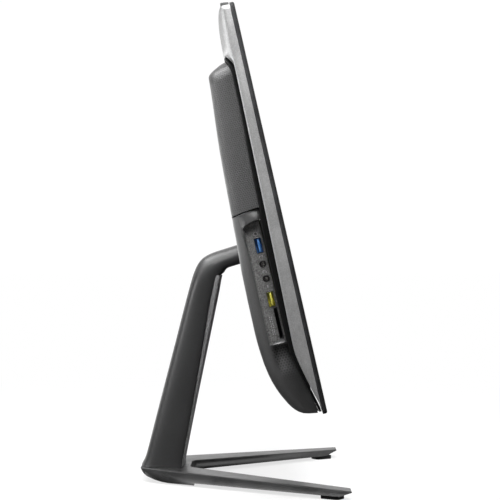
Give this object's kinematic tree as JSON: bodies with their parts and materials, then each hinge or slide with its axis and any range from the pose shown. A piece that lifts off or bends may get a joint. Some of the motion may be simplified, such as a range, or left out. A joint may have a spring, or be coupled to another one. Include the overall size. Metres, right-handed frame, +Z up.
{
  "type": "all-in-one desktop computer",
  "caption": "Slim widescreen all-in-one desktop computer with a stepped rear housing, side ports and a tilting head on a slanted column with a V-shaped foot.",
  "frame": {"origin": "on the floor under the middle of the whole object", "axes": "+Z up; the screen faces -Y; X runs along the width, the port side is -X"},
  "size_m": [0.528, 0.1918, 0.4145],
  "materials": {
    "bezel_black": "satin black",
    "cover_grey": "fine metallic grey",
    "frame_black": "matt black",
    "vent_cover_texture": "dark grey, woven texture",
    "lower_cover_dark": "smooth dark grey",
    "panel_dark": "speckled dark grey",
    "screen_glass": "dark anti-glare glass",
    "panel_black": "moulded panel frame",
    "sheet_steel": "zinc plated",
    "plated_steel": "nickel plated",
    "board_green": "solder resist",
    "chip_black": "moulded resin",
    "usb_blue": "moulded",
    "usb_yellow": "moulded",
    "jack_black": "moulded",
    "copper": "bare copper",
    "fin_aluminium": "bare",
    "drive_aluminium": "cast and milled",
    "fan_black": "moulded",
    "button_black": "polished",
    "light_guide": "translucent white",
    "lens_glass": "coated lens",
    "cable_grey": "flat cable",
    "stand_dark": "satin dark grey",
    "base_dark": "satin dark grey",
    "trim_grey": "metallic grey",
    "screw_black": "black oxide",
    "rubber_black": "matt"
  },
  "bodies": {
    "stand": {"base_frame": "base_dark", "stand_column": "stand_dark", "column_front_trim": "trim_grey", "column_spine": "sheet_steel", "base_screws": "screw_black", "front_foot_pads": "rubber_black", "rear_foot_pad": "rubber_black", "hinge_shaft": "plated_steel", "hinge_friction_washers": "plated_steel", "hinge_lock_nuts": "plated_steel"},
    "display_head": {"front_bezel": "bezel_black", "lcd_glass": "screen_glass", "backlight_unit": "panel_black", "webcam_module": "board_green", "webcam_lens": "lens_glass", "rear_cover": "cover_grey", "mid_frame": "frame_black", "upper_vent_cover": "vent_cover_texture", "lower_rear_cover": "lower_cover_dark", "left_port_panel": "panel_dark", "right_control_panel": "panel_dark", "usb3_port_shell": "plated_steel", "usb3_port_tongue": "usb_blue", "charging_usb_port_shell": "plated_steel", "charging_usb_port_tongue": "usb_yellow", "headphone_jack": "jack_black", "microphone_jack": "jack_black", "card_reader": "jack_black", "status_light": "light_guide", "control_board": "board_green", "rear_io_plate": "sheet_steel", "power_inlet": "jack_black", "ethernet_port": "plated_steel", "hdmi_port": "plated_steel", "rear_usb_ports": "plated_steel", "chassis_plate": "sheet_steel", "motherboard": "board_green", "cpu": "chip_black", "cpu_cold_plate": "copper", "heat_pipe": "copper", "heat_sink_fins": "fin_aluminium", "fan_housing": "fan_black", "memory_modules": "board_green", "wifi_card": "board_green", "clock_battery": "plated_steel", "hard_drive_bracket": "sheet_steel", "hard_drive": "drive_aluminium", "left_speaker": "jack_black", "right_speaker": "jack_black", "display_cable": "cable_grey", "wifi_antennas": "cable_grey", "hinge_head_bracket": "sheet_steel", "hinge_bracket_screws": "screw_black", "motherboard_screws": "plated_steel", "fan_screws": "plated_steel", "cold_plate_screws": "plated_steel"},
    "power_button": {"power_button": "button_black"},
    "brightness_up_button": {"brightness_up_button": "button_black"},
    "brightness_down_button": {"brightness_down_button": "button_black"},
    "fan_impeller": {"fan_impeller": "fan_black"}
  },
  "joints": [
    {"name": "display_tilt", "type": "hinge", "parent": "stand", "child": "display_head", "pos_m": [0, -0.01109, 0.21814], "axis": [-1, 0, 0], "range_deg": [-17.85, 12.15]},
    {"name": "power_press", "type": "slide", "parent": "display_head", "child": "power_button", "axis": [-1, 0, 0], "range_m": [0, 0.0008], "stiffness_N_per_m": 400},
    {"name": "brightness_up_press", "type": "slide", "parent": "display_head", "child": "brightness_up_button", "axis": [-1, 0, 0], "range_m": [0, 0.0006], "stiffness_N_per_m": 400},
    {"name": "brightness_down_press", "type": "slide", "parent": "display_head", "child": "brightness_down_button", "axis": [-1, 0, 0], "range_m": [0, 0.0006], "stiffness_N_per_m": 400},
    {"name": "fan_spin", "type": "hinge", "parent": "display_head", "child": "fan_impeller", "pos_m": [0.13, 0.00191, 0.29313], "axis": [0, 0.975, -0.2224], "continuous": true}
  ]
}
